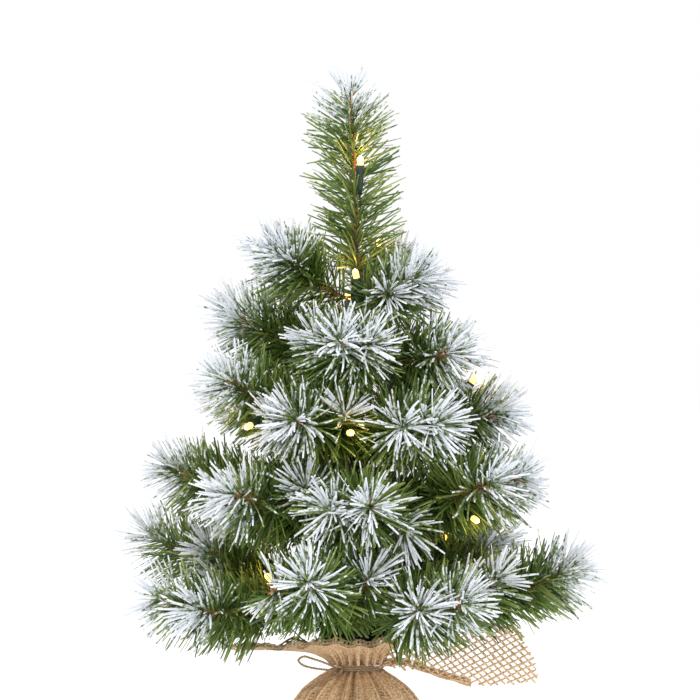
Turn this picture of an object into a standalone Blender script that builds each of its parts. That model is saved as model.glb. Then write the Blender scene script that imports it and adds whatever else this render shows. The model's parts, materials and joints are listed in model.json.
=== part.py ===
"""Tabletop tree: frosted PVC branches on bendable wire stems, lit by LEDs, its weighted foot wrapped in burlap.

Frame: the origin is the middle of the foot on the surface it stands on, +Z is up and the front faces -Y.
Azimuths are in degrees from +X towards +Y, so the front is at 270. All sizes are in metres.
"""

import math

import bmesh
import bpy
import numpy as np
from mathutils import Matrix, Vector

# Driving dimensions
HEIGHT = 0.600
GAP = 0.0003
BAG_RADIUS = 0.069
NECK_HEIGHT = 0.110
NECK_RADIUS = 0.0195
NECK_HALF = 0.0034
CLOTH = 0.0016
TRUNK_FOOT_RADIUS = 0.0055
TRUNK_TOP_RADIUS = 0.0045
TRUNK_TOP = 0.426
HINGE_RADIUS = 0.0078
WIRE_RADIUS = 0.0011
KNUCKLE_RADIUS = 0.0015
SLEEVE_RADIUS = 0.0060
BARE_STEM = 0.022
SPLIT_SHARE = 0.32
SIDE_SHARE = 0.58
LIGHT_WIRE_RADIUS = 0.0010
PIGTAIL_RADIUS = 0.0009
HOLDER_LENGTH = 0.024
HOLDER_RADIUS = 0.0034
LENS_LENGTH = 0.0075
LENS_RADIUS = 0.0025
TWINE_RADIUS = 0.0010
CELL_RADIUS = 0.00525
CELL_LENGTH = 0.0445
CASE_CENTRE = (0.0, 0.0190, 0.1362)
CASE_SIZE = (0.060, 0.0146, 0.0254)
CASE_WALL = 0.0015
TRUNK_FOOT = 0.0080

# Each branch: tier, azimuth, root height, elevation at the root and at the tip, length, turn of its side tip.
BRANCHES = [
    ("top", 200, 0.408, 22, 46, 0.096, 25),
    ("top", 314, 0.402, 14, 34, 0.086, 25),
    ("top", 62, 0.405, 22, 44, 0.092, 25),
    ("upper", 164, 0.358, 14, 32, 0.122, 26),
    ("upper", 262, 0.352, 8, 22, 0.116, 26),
    ("upper", 338, 0.354, 3, 15, 0.110, -26),
    ("upper", 96, 0.356, 14, 30, 0.118, 26),
    ("middle", 212, 0.302, 12, 30, 0.140, -26),
    ("middle", 245, 0.298, 2, 16, 0.128, -24),
    ("middle", 302, 0.299, 0, 14, 0.132, -24),
    ("middle", 6, 0.301, 2, 18, 0.138, -24),
    ("middle", 56, 0.303, 6, 22, 0.140, 26),
    ("middle", 135, 0.300, 6, 22, 0.140, 26),
    ("lower", 186, 0.238, 4, 24, 0.165, -26),
    ("lower", 226, 0.234, 2, 18, 0.152, -24),
    ("lower", 274, 0.236, -2, 15, 0.150, -24),
    ("lower", 334, 0.237, 4, 24, 0.168, -26),
    ("lower", 30, 0.235, 2, 20, 0.165, -26),
    ("lower", 104, 0.236, 4, 20, 0.165, 26),
    ("bottom", 162, 0.158, 8, 28, 0.196, -24),
    ("bottom", 201, 0.154, -3, 16, 0.178, 24),
    ("bottom", 256, 0.162, 0, 26, 0.176, -24),
    ("bottom", 304, 0.156, -4, 22, 0.166, -24),
    ("bottom", 350, 0.150, 0, 32, 0.202, 24),
    ("bottom", 44, 0.164, 4, 26, 0.190, 24),
    ("bottom", 80, 0.188, -4, 16, 0.172, 24),
]

# Each lamp on a branch: branch, share of the stem where its holder begins, turn round the stem from straight up.
BRANCH_LAMPS = [
    ("branch_middle_4", 0.52, 10),
    ("branch_middle_2", 0.38, 265),
    ("branch_lower_4", 0.48, 135),
    ("branch_bottom_2", 0.28, 345),
    ("branch_middle_1", 0.54, 210),
    ("branch_top_3", 0.30, 0),
    ("branch_upper_4", 0.50, 0),
    ("branch_middle_5", 0.45, 180),
    ("branch_middle_6", 0.55, 10),
    ("branch_lower_6", 0.40, 0),
    ("branch_lower_5", 0.55, 0),
    ("branch_bottom_6", 0.40, 10),
    ("branch_bottom_1", 0.50, 0),
]


def clear_scene():
    for obj in list(bpy.data.objects):
        bpy.data.objects.remove(obj, do_unlink=True)


def finish(name, colour, roughness, metallic=0.0):
    """A Principled material, made once and found again by its name."""
    material = bpy.data.materials.get(name) or bpy.data.materials.new(name)
    material.use_nodes = True
    shader = material.node_tree.nodes["Principled BSDF"]
    shader.inputs["Base Color"].default_value = (*colour, 1.0)
    shader.inputs["Roughness"].default_value = roughness
    shader.inputs["Metallic"].default_value = metallic
    return material


def place(name, mesh, material, location=(0, 0, 0), azimuth=0.0):
    """Puts a mesh in the scene as a named object, shaded smooth over its round stretches."""
    mesh.materials.append(material)
    mesh.shade_smooth()
    mesh.set_sharp_from_angle(angle=math.radians(40))
    obj = bpy.data.objects.new(name, mesh)
    obj.location = location
    obj.rotation_euler = (0, 0, math.radians(azimuth))
    bpy.context.scene.collection.objects.link(obj)
    return obj


def mesh_from(bm, name):
    """Turns a bmesh into a mesh with every face looking outwards."""
    bmesh.ops.recalc_face_normals(bm, faces=bm.faces)
    mesh = bpy.data.meshes.new(name)
    bm.to_mesh(mesh)
    bm.free()
    return mesh


def frames_along(points):
    """A tangent and two normals at every point, turned as little as the path allows."""
    tangents = [(points[min(i + 1, len(points) - 1)] - points[max(i - 1, 0)]).normalized()
                for i in range(len(points))]
    start = Vector((0, 0, 1)) if abs(tangents[0].z) < 0.9 else Vector((1, 0, 0))
    normal = tangents[0].cross(start).normalized()
    frames = []
    for tangent in tangents:
        normal = (normal - tangent * normal.dot(tangent)).normalized()
        frames.append((tangent, normal, tangent.cross(normal)))
    return frames


def tube_mesh(name, points, radii, sides):
    """A closed tube along points with its own radius at each of them."""
    bm = bmesh.new()
    rings = []
    for point, radius, (_, across, up) in zip(points, radii, frames_along(points)):
        turns = [2 * math.pi * k / sides for k in range(sides)]
        rings.append([bm.verts.new(point + radius * (across * math.cos(t) + up * math.sin(t))) for t in turns])
    for near, far in zip(rings, rings[1:]):
        for k in range(sides):
            bm.faces.new((near[k], near[(k + 1) % sides], far[(k + 1) % sides], far[k]))
    bm.faces.new(rings[0][::-1])
    bm.faces.new(rings[-1])
    return mesh_from(bm, name)


def turned_mesh(name, profile, steps, shape=None):
    """A closed turned body: profile runs (radius, height) from the axis, or round a ring, back to its start."""
    bm = bmesh.new()
    rings = []
    for radius, height in profile:
        if radius == 0:
            rings.append([bm.verts.new((0, 0, height))])
            continue
        ring = []
        for k in range(steps):
            turn = 2 * math.pi * k / steps
            r, z = shape(radius, height, turn) if shape else (radius, height)
            ring.append(bm.verts.new((r * math.cos(turn), r * math.sin(turn), z)))
        rings.append(ring)
    pairs = list(zip(rings, rings[1:]))
    if len(rings[0]) > 1:
        pairs.append((rings[-1], rings[0]))
    for near, far in pairs:
        for k in range(steps):
            corners = [near[k % len(near)], near[(k + 1) % len(near)], far[(k + 1) % len(far)], far[k % len(far)]]
            bm.faces.new(list(dict.fromkeys(corners)))
    return mesh_from(bm, name)


def plate_mesh(name, outline, thickness, azimuth):
    """A thin upright plate of this outline in (distance from the axis, height), standing at an azimuth."""
    bm = bmesh.new()
    front = [bm.verts.new((r, -thickness / 2, z)) for r, z in outline]
    back = [bm.verts.new((r, thickness / 2, z)) for r, z in outline]
    bm.faces.new(front)
    bm.faces.new(back[::-1])
    for k in range(len(outline)):
        following = (k + 1) % len(outline)
        bm.faces.new((front[k], back[k], back[following], front[following]))
    bmesh.ops.rotate(bm, verts=bm.verts, matrix=Matrix.Rotation(math.radians(azimuth), 3, "Z"))
    return mesh_from(bm, name)


def box_mesh(name, low, high, bevel=0.0):
    """A block between two corners, its edges rounded where a bevel is given."""
    bm = bmesh.new()
    size = [b - a for a, b in zip(low, high)]
    middle = [(a + b) / 2 for a, b in zip(low, high)]
    bmesh.ops.create_cube(bm, size=1, matrix=Matrix.Translation(middle) @ Matrix.Diagonal((*size, 1)))
    if bevel:
        bmesh.ops.bevel(bm, geom=bm.edges[:], offset=bevel, segments=1, affect="EDGES")
    return mesh_from(bm, name)


def combine(obj, mesh, operation):
    """Joins a mesh to an object, or cuts it away, with an exact Boolean and a hidden helper."""
    helper = bpy.data.objects.new(f"{obj.name}_{mesh.name}", mesh)
    bpy.context.scene.collection.objects.link(helper)
    helper.location = obj.location
    helper.rotation_euler = obj.rotation_euler
    helper.hide_render = True
    helper.display_type = "WIRE"
    modifier = obj.modifiers.new(mesh.name, "BOOLEAN")
    modifier.operation = operation
    modifier.solver = "EXACT"
    modifier.object = helper
    return helper


def cord_object(name, points, radius, material):
    """A cord's plain solid: a bevelled curve through the points of its route."""
    curve = bpy.data.curves.new(name, "CURVE")
    curve.dimensions = "3D"
    curve.bevel_depth = radius
    curve.bevel_resolution = 2
    curve.use_fill_caps = True
    spline = curve.splines.new("POLY")
    spline.points.add(len(points) - 1)
    for spot, point in zip(spline.points, points):
        spot.co = (*point, 1)
    curve.materials.append(material)
    obj = bpy.data.objects.new(name, curve)
    bpy.context.scene.collection.objects.link(obj)
    return obj


def smooth_route(points, count):
    """Evenly spaced points on the smooth curve through a route's own points (centripetal Catmull-Rom)."""
    guide = [Vector(p) for p in points]
    guide = [2 * guide[0] - guide[1]] + guide + [2 * guide[-1] - guide[-2]]
    dense = []
    for a, b, c, d in zip(guide, guide[1:], guide[2:], guide[3:]):
        for k in range(16):
            t = k / 16
            dense.append(0.5 * (2 * b + (c - a) * t + (2 * a - 5 * b + 4 * c - d) * t**2
                                + (3 * b - a - 3 * c + d) * t**3))
    dense.append(guide[-2])
    marks = np.concatenate([[0], np.cumsum([(q - p).length for p, q in zip(dense, dense[1:])])])
    spread = np.linspace(0, marks[-1], count)
    axes = [np.interp(spread, marks, [p[k] for p in dense]) for k in range(3)]
    return [Vector(p) for p in zip(*axes)]


# Shapes of the foot

BAG_OUTLINE = [(0.049, 0.0), (0.058, 0.008), (0.0662, 0.024), (BAG_RADIUS, 0.044), (0.0668, 0.060),
               (0.0590, 0.075), (0.0460, 0.0885), (0.0320, 0.0985), (0.0230, 0.1040),
               (NECK_RADIUS, NECK_HEIGHT - NECK_HALF)]
RUFFLE_OUTLINE = [(NECK_RADIUS, NECK_HEIGHT + NECK_HALF), (0.0290, 0.1260), (0.0370, 0.1380)]
SPREAD_TURN = math.radians(184)
SPREAD_WIDTH = math.radians(32)
CORNER_AZIMUTH = -8


def bag_radius(height):
    """The bag's outer radius at a height between the table and the neck."""
    return float(np.interp(height, [z for _, z in BAG_OUTLINE], [r for r, _ in BAG_OUTLINE]))


def burlap_folds(radius, height, turn):
    """Gathers that deepen towards the neck, and above it a ruffle that spreads to the left and stays low behind."""
    near_neck = math.exp(-(((height - NECK_HEIGHT) / 0.030) ** 2))
    fold = 0.045 * near_neck * math.cos(9 * turn) + 0.015 * near_neck * math.sin(5 * turn)
    if height < 0.0005 or radius < 0.010:
        fold = 0.0
    above = height - NECK_HEIGHT - 2 * NECK_HALF
    if above < 0:
        return radius * (1 + fold), height
    behind = min(1.0, 2.6 * max(0.0, math.sin(turn)))
    spread = math.exp(-((math.remainder(turn - SPREAD_TURN, 2 * math.pi) / SPREAD_WIDTH) ** 2))
    rim = above / (RUFFLE_OUTLINE[-1][1] - NECK_HEIGHT - 2 * NECK_HALF)
    reach = radius * (1 + fold) * (1 - 0.22 * behind) + spread * (0.020 + 0.046 * rim)
    lowered = NECK_HEIGHT + (height - NECK_HEIGHT) * (1 - 0.66 * behind * (1 - 0.5 * spread))
    return reach, lowered - spread * (1 - behind) * 0.010 * rim


def make_burlap(material):
    """One square of burlap: round the foot, gathered at the neck, its corners standing out above the tie."""
    inner_bag = [(r - CLOTH, z) for r, z in BAG_OUTLINE[1:8]]
    pole_hole = TRUNK_FOOT_RADIUS + GAP
    inner_ruffle = [(r - 0.0012, z + 0.0012) for r, z in RUFFLE_OUTLINE[::-1]]
    profile = [(0, 0)] + BAG_OUTLINE + RUFFLE_OUTLINE + inner_ruffle
    profile += [(pole_hole, 0.1150), (pole_hole, 0.1030)]
    profile += inner_bag[::-1] + [(BAG_OUTLINE[0][0] - CLOTH, CLOTH), (0, CLOTH)]
    wrap = place("burlap_wrap", turned_mesh("burlap_wrap", profile, 36, burlap_folds), material)
    corner = [(0.018, 0.1150), (0.036, 0.1150), (0.070, 0.1040), (0.101, 0.0960), (0.146, 0.0995),
              (0.140, 0.1160), (0.124, 0.1340), (0.090, 0.1275), (0.050, 0.1250), (0.018, 0.1220)]
    combine(wrap, plate_mesh("corner_right", corner, 0.0026, CORNER_AZIMUTH), "UNION")


def make_foot():
    """The pot inside the burlap, the cement cast in it and the pole cast in the cement."""
    heights = [0.0024, 0.012, 0.026, 0.042, 0.054]
    outer = [(bag_radius(z) - CLOTH - 0.0012 - 0.0012 * (z < 0.02), z) for z in heights]
    inner = [(r - 0.0012, z + 0.0012 * (z < 0.01)) for r, z in outer]
    pot_profile = [(0, outer[0][1])] + outer + inner[::-1] + [(0, inner[0][1])]
    place("base_pot", turned_mesh("base_pot", pot_profile, 24), finish("grey pot plastic", (0.12, 0.12, 0.12), 0.5))
    fill = [(r - GAP - 0.0002, z + GAP) for r, z in inner]
    hole = TRUNK_FOOT_RADIUS + GAP
    block_profile = [(0, fill[0][1])] + fill + [(0.0560, 0.0660), (0.0420, 0.0780), (0.0220, 0.0860), (hole, 0.0880),
                                               (hole, TRUNK_FOOT - GAP), (0, TRUNK_FOOT - GAP)]
    place("weight_block", turned_mesh("weight_block", block_profile, 24), finish("cement", (0.42, 0.41, 0.39), 0.9))
    pole = [(0, TRUNK_FOOT), (TRUNK_FOOT_RADIUS, TRUNK_FOOT), (TRUNK_FOOT_RADIUS, 0.125),
            (TRUNK_TOP_RADIUS, TRUNK_TOP - 0.002), (TRUNK_TOP_RADIUS - 0.0015, TRUNK_TOP), (0, TRUNK_TOP)]
    place("trunk_pole", turned_mesh("trunk_pole", pole, 14), finish("brown tape", (0.16, 0.10, 0.05), 0.8))


# Branches

def stem_points(length, start, end, steps):
    """Points of a stem in its own upright plane, its elevation turning evenly from start to end."""
    points = [Vector((0, 0, 0))]
    for k in range(steps):
        climb = math.radians(start + (end - start) * (k + 0.5) / steps)
        points.append(points[-1] + Vector((math.cos(climb), 0, math.sin(climb))) * (length / steps))
    return points


def at_share(points, share):
    """The point and the direction at a share of an evenly stepped path."""
    spot = share * (len(points) - 1)
    k = min(int(spot), len(points) - 2)
    step = points[k + 1] - points[k]
    return points[k] + step * (spot - k), step.normalized()


def needle_sleeve(distance, length, bare):
    """Radius of the solid core that stands for a stem's needles at a distance from its start."""
    if distance <= bare:
        return WIRE_RADIUS
    share = (distance - bare) / (length - bare)
    return SLEEVE_RADIUS * min(1.0, 0.72 + share) * (1 - 0.62 * max(0.0, share - 0.45) / 0.55)


def main_stem(row):
    return stem_points(row[5], row[3], row[4], 24)


def side_stem(row):
    """The side tip, which leaves the main stem level with it and turns away to one side."""
    root, along = at_share(main_stem(row), SPLIT_SHARE)
    turned = Matrix.Rotation(math.radians(row[6]), 3, "Z") @ along
    climb = math.radians(0.4 * (row[4] - row[3]))
    bent = (turned + Vector((0, 0, math.tan(climb)))).normalized()
    length = SIDE_SHARE * row[5]
    return [root + turned * (s * length) + (bent - turned) * (s * s * length * 0.5) for s in np.linspace(0, 1, 9)]


def branch_names():
    counts = {}
    for row in BRANCHES:
        counts[row[0]] = counts.get(row[0], 0) + 1
        yield f"branch_{row[0]}_{counts[row[0]]}", row


def root_of(row):
    turn = math.radians(row[1])
    return Vector((HINGE_RADIUS * math.cos(turn), HINGE_RADIUS * math.sin(turn), row[2]))


def make_branch(name, row, material):
    """A wire stem that starts in a round knuckle on its bending axis, with one side tip twisted into it."""
    length = row[5]
    stem = main_stem(row)
    shares = [0.0, 0.025, BARE_STEM / length, BARE_STEM / length + 0.05, 0.45, 0.65, 0.85, 1.0]
    points = [at_share(stem, share)[0] for share in shares]
    radii = [KNUCKLE_RADIUS, WIRE_RADIUS] + [needle_sleeve(s * length, length, BARE_STEM) for s in shares[2:]]
    points.insert(0, points[0] - at_share(stem, 0)[1] * 0.0012)
    radii.insert(0, 0.0008)
    branch = place(name, tube_mesh(name, points, radii, 6), material, root_of(row), row[1])
    side = side_stem(row)
    side_length = SIDE_SHARE * length
    side_shares = [0.0, 0.20, 0.55, 0.85, 1.0]
    side_points = [at_share(side, share)[0] for share in side_shares]
    side_radii = [0.0030] + [0.92 * needle_sleeve(s * side_length, side_length, 0.0) for s in side_shares[1:]]
    combine(branch, tube_mesh("side_tip", side_points, side_radii, 6), "UNION")


def make_leader(material):
    """The upright top shoot, which stands on the pole and leans a little."""
    low = TRUNK_TOP + GAP
    shares = np.array([0.0, 0.10, 0.14, 0.35, 0.60, 0.85, 1.0])
    points = [Vector((-0.0085 * s * s, 0.002 * s, low + (HEIGHT - 0.0015 - low) * s)) for s in shares]
    radii = [0.0016, 0.0016, 0.0048, 0.0060, 0.0056, 0.0040, 0.0022]
    points[-1].z = HEIGHT
    place("leader", tube_mesh("leader", points, radii, 8), material)


# Lights

def lamp_radii(pigtail_count):
    """Radii from the pigtail through the holder to the round end of the lens."""
    holder = [0.0015, HOLDER_RADIUS * 0.86, HOLDER_RADIUS, HOLDER_RADIUS]
    lens = [LENS_RADIUS, LENS_RADIUS, LENS_RADIUS * 0.55]
    return [PIGTAIL_RADIUS] * pigtail_count + holder + lens


def lamp_end(start, along):
    """The stations of a holder and its lens from the end of the pigtail."""
    stations = [0.0, 0.006, HOLDER_LENGTH * 0.6, HOLDER_LENGTH, HOLDER_LENGTH + 0.0003,
                HOLDER_LENGTH + LENS_LENGTH * 0.65, HOLDER_LENGTH + LENS_LENGTH]
    return [start + along * s for s in stations]


def make_branch_lamp(name, row, share, turn, material):
    """A lamp whose pigtail follows its branch from the trunk and whose holder stands off the needles."""
    stem = main_stem(row)
    length = row[5]
    points = []
    begin = 0.010 / length
    for s in np.linspace(begin, share, 5):
        spot, along = at_share(stem, float(s))
        lift = Vector((0, 0, 1)) - along * along.z
        away = Matrix.Rotation(math.radians(turn), 3, along) @ lift.normalized()
        reach = 0.0032 + (0.0084 - 0.0032) * min(1.0, max(0.0, (s * length - 0.012) / 0.010))
        points.append(spot + away * reach)
    points[-1] += away * 0.0010
    direction = (along * 0.72 + away * 0.70).normalized()
    points += lamp_end(points[-1] + direction * 0.004, direction)
    place(name, tube_mesh(name, points, lamp_radii(5), 6), material, root_of(row), row[1])


def make_trunk_lamps(material):
    """The lamp on the leader and the one on the front of the trunk, both fed from the wire up the trunk."""
    leader_lamp = [Vector(p) for p in ((0.0035, -0.0080, 0.4720), (0.0030, -0.0090, 0.4800))]
    leader_lamp += lamp_end(Vector((0.0022, -0.0110, 0.4930)), Vector((0.02, -0.06, 1.0)).normalized())
    place("lamp_1", tube_mesh("lamp_1", leader_lamp, lamp_radii(2), 8), material)
    trunk_lamp = [Vector(p) for p in ((0.0020, -0.0108, 0.3800), (0.0035, -0.0145, 0.3900))]
    trunk_lamp += lamp_end(Vector((0.0045, -0.0185, 0.4020)), Vector((-0.20, -0.16, 0.95)).normalized())
    place("lamp_2", tube_mesh("lamp_2", trunk_lamp, lamp_radii(2), 8), material)


LIGHT_WIRE_ROUTE = [(118, 0.01855, 0.1478), (118, 0.01855, 0.1530), (119, 0.0165, 0.1610), (121, 0.0120, 0.1710),
                    (124, 0.0098, 0.1820), (132, 0.0095, 0.2060),
                    (146, 0.0095, 0.2360), (156, 0.0095, 0.2680), (168, 0.0092, 0.3000), (188, 0.0092, 0.3280),
                    (212, 0.0090, 0.3560), (232, 0.0090, 0.3820), (250, 0.0088, 0.4060), (262, 0.0086, 0.4320),
                    (272, 0.0086, 0.4520), (282, 0.0088, 0.4700)]


def make_light_wire(material):
    """The two-core lead from the battery case, led up the pole between the roots of the branches."""
    route = [(r * math.cos(math.radians(a)), r * math.sin(math.radians(a)), z) for a, r, z in LIGHT_WIRE_ROUTE]
    cord_object("light_wire", smooth_route(route, 46), LIGHT_WIRE_RADIUS, material)


# Battery case

def case_span(axis):
    return CASE_CENTRE[axis] - CASE_SIZE[axis] / 2, CASE_CENTRE[axis] + CASE_SIZE[axis] / 2


def make_battery_case():
    """Case, cover, switch, two AA cells, contacts, circuit board and the tie that holds the case to the pole."""
    green = finish("dark green plastic", (0.02, 0.05, 0.03), 0.45)
    steel = finish("nickel steel", (0.70, 0.68, 0.62), 0.3, 1.0)
    (x0, x1), (y0, y1), (z0, z1) = case_span(0), case_span(1), case_span(2)
    cover_inside = y1 - CASE_WALL
    case = place("battery_case", box_mesh("battery_case", (x0, y0, z0), (x1, cover_inside - GAP, z1), 0.0008), green)
    hollow = box_mesh("hollow", (x0 + CASE_WALL, y0 + CASE_WALL, z0 + CASE_WALL),
                      (x1 - CASE_WALL, y1 + 0.01, z1 - CASE_WALL))
    combine(case, hollow, "DIFFERENCE").location = (0, 0, 0)
    switch_z = CASE_CENTRE[2]
    slot = box_mesh("switch_slot", (x1 - 0.004, 0.0165, switch_z - 0.0050), (x1 + 0.002, 0.0199, switch_z + 0.0050))
    combine(case, slot, "DIFFERENCE")
    lug = box_mesh("tie_lug", (-0.0040, y0 - 0.0032, 0.1290), (0.0040, y0 + 0.0006, 0.1380))
    combine(case, lug, "UNION")
    tie_hole = box_mesh("tie_hole", (-0.0060, y0 - 0.0019, 0.1308), (0.0060, y0 + 0.0002, 0.1362))
    combine(case, tie_hole, "DIFFERENCE")
    lead_hole = box_mesh("lead_hole", (-0.0100, 0.0151, z1 - 0.0030), (-0.0074, 0.0177, z1 + 0.0010))
    combine(case, lead_hole, "DIFFERENCE")

    cover = place("battery_cover", box_mesh("battery_cover", (x0, cover_inside, z0), (x1, y1, z1), 0.0006), green)
    grip = box_mesh("grip_rib", (x0 + 0.006, y1 - 0.0005, CASE_CENTRE[2] - 0.006),
                    (x0 + 0.010, y1 + 0.0009, CASE_CENTRE[2] + 0.006), 0.0003)
    combine(cover, grip, "UNION")

    place("switch_knob", box_mesh("switch_knob", (x1 - 0.0028, 0.0169, switch_z + 0.0006),
                                  (x1 + 0.0014, 0.0195, switch_z + 0.0046), 0.0003),
          finish("black switch plastic", (0.02, 0.02, 0.02), 0.4))

    for index, side in ((1, -1), (2, 1)):
        height = CASE_CENTRE[2] + side * (CELL_RADIUS + 0.0002)
        left = x0 + CASE_WALL + 0.0040
        body = [(0, 0), (CELL_RADIUS, 0), (CELL_RADIUS, CELL_LENGTH - 0.0015), (0.0028, CELL_LENGTH - 0.0012),
                (0.0028, CELL_LENGTH), (0, CELL_LENGTH)]
        mesh = turned_mesh(f"cell_{index}", body, 16)
        flip = Matrix.Rotation(math.radians(90), 4, "Y")
        mesh.transform(Matrix.Translation((left, y0 + CASE_WALL + 0.0004 + CELL_RADIUS, height)) @ flip)
        place(f"battery_cell_{index}", mesh, finish("cell jacket", (0.45, 0.44, 0.42), 0.35, 0.4))

    middle_y = y0 + CASE_WALL + 0.0004 + CELL_RADIUS
    contacts = [("contact_left", x0 + CASE_WALL + GAP, 1), ("contact_right", x0 + CASE_WALL + 0.0046 + CELL_LENGTH, -1)]
    for name, left, _ in contacts:
        low = (left, middle_y - 0.0045, CASE_CENTRE[2] - 0.0100)
        place(name, box_mesh(name, low, (left + 0.0006, middle_y + 0.0045, CASE_CENTRE[2] + 0.0100)), steel)
        plate = bpy.data.objects[name]
        for index, side in ((1, -1), (2, 1)):
            if name == "contact_left":
                spring = turned_mesh(f"spring_{index}", [(0, 0), (0.0040, 0), (0.0024, 0.0032), (0, 0.0032)], 10)
                flip = Matrix.Rotation(math.radians(90), 4, "Y")
                spot = (left + 0.0003, middle_y, CASE_CENTRE[2] + side * (CELL_RADIUS + 0.0002))
                spring.transform(Matrix.Translation(spot) @ flip)
                combine(plate, spring, "UNION")

    board = box_mesh("circuit_board", (x1 - CASE_WALL - 0.0062, y0 + CASE_WALL + 0.0010, z0 + 0.0040),
                     (x1 - CASE_WALL - 0.0050, y1 - 0.0030, z1 - 0.0040))
    place("circuit_board", board, finish("board green", (0.03, 0.14, 0.06), 0.5))

    reach = y0 - 0.0009
    grip_radius = TRUNK_FOOT_RADIUS + 0.0011
    turns = [math.radians(a) for a in range(160, 381, 20)]
    ring = [Vector((grip_radius * math.cos(t), grip_radius * math.sin(t), 0)) for t in turns]
    ring = [Vector((-0.0050, reach, 0))] + ring + [Vector((0.0050, reach, 0))]
    place("case_tie", band_mesh("case_tie", ring, 0.0010, 0.1322, 0.1348),
          finish("black tie nylon", (0.02, 0.02, 0.02), 0.5))


def band_mesh(name, ring, thickness, low, high):
    """An upright closed band of this thickness, its middle line given as a ring of points."""
    bm = bmesh.new()
    count = len(ring)
    loops = []
    for k, point in enumerate(ring):
        along = (ring[(k + 1) % count] - ring[k - 1]).normalized()
        out = Vector((along.y, -along.x, 0)) * (thickness / 2)
        corners = [(point + out, low), (point + out, high), (point - out, high), (point - out, low)]
        loops.append([bm.verts.new((p.x, p.y, z)) for p, z in corners])
    for k in range(count):
        near, far = loops[k], loops[(k + 1) % count]
        for j in range(4):
            bm.faces.new((near[j], near[(j + 1) % 4], far[(j + 1) % 4], far[j]))
    return mesh_from(bm, name)


# Twine

KNOT = Vector((-0.0151, -0.0193, 0.1085))
TWINE_LOOP = [(-0.0181, -0.0215, 0.1111), (-0.0225, -0.0225, 0.1130), (-0.0290, -0.0208, 0.1153),
              (-0.0370, -0.0200, 0.1178), (-0.0430, -0.0208, 0.1195), (-0.0475, -0.0220, 0.1166),
              (-0.0440, -0.0225, 0.1128), (-0.0370, -0.0220, 0.1105), (-0.0290, -0.0215, 0.1092),
              (-0.0235, -0.0208, 0.1086), (-0.0193, -0.0203, 0.1084)]
TWINE_TAIL = [(-0.0159, -0.0227, 0.1057), (-0.0195, -0.0225, 0.1030), (-0.0243, -0.0213, 0.1005),
              (-0.0300, -0.0205, 0.0980), (-0.0350, -0.0187, 0.0955), (-0.0402, -0.0157, 0.0930),
              (-0.0448, -0.0122, 0.0905)]


def make_twine(material):
    """The jute twine: its turns round the neck with the knot, the loop of its bow and one loose end."""
    turns, per_turn = 2.4, 15
    count = round(turns * per_turn)
    radius = NECK_RADIUS * 1.07 + TWINE_RADIUS + 0.0010
    points = []
    for k in range(count + 1):
        angle = math.radians(232) + 2 * math.pi * k / per_turn
        rise = 0.0055 * (k / count - 0.5)
        points.append(Vector((radius * math.cos(angle), radius * math.sin(angle), NECK_HEIGHT + rise)))
    tie = place("twine_tie", tube_mesh("twine_tie", points, [TWINE_RADIUS] * len(points), 6), material)
    bm = bmesh.new()
    shape = Matrix.Translation(KNOT) @ Matrix.Diagonal((0.0026, 0.0026, 0.0030, 1))
    bmesh.ops.create_icosphere(bm, subdivisions=2, radius=1, matrix=shape)
    combine(tie, mesh_from(bm, "knot"), "UNION")
    cord_object("twine_loop", smooth_route(TWINE_LOOP, 32), TWINE_RADIUS, material)
    cord_object("twine_tail", smooth_route(TWINE_TAIL, 16), TWINE_RADIUS, material)


def main():
    clear_scene()
    foliage = finish("frosted needles", (0.32, 0.42, 0.22), 0.6)
    burlap = finish("burlap", (0.58, 0.43, 0.27), 0.9)
    twine = finish("jute twine", (0.62, 0.47, 0.30), 0.9)
    wire = finish("green wire plastic", (0.02, 0.07, 0.04), 0.4)
    make_foot()
    make_burlap(burlap)
    make_twine(twine)
    make_leader(foliage)
    rows = dict(branch_names())
    for name, row in rows.items():
        make_branch(name, row, foliage)
    make_light_wire(wire)
    make_trunk_lamps(wire)
    for index, (name, share, turn) in enumerate(BRANCH_LAMPS, start=3):
        make_branch_lamp(f"lamp_{index}", rows[name], share, turn, wire)
    make_battery_case()


main()
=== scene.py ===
# %% [markdown]
# # A small frosted fir on a burlap-wrapped foot
# The tree stands 60 cm tall. Its branches are twisted wire stems full of cut strips, like bottle
# brushes. The solids loaded here hold its sizes and its joints, and this script gives each of them
# the look of the real thing.

# %% Load the frame
import json
import math

import bpy
import numpy as np
from mathutils import Matrix, Vector


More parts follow.
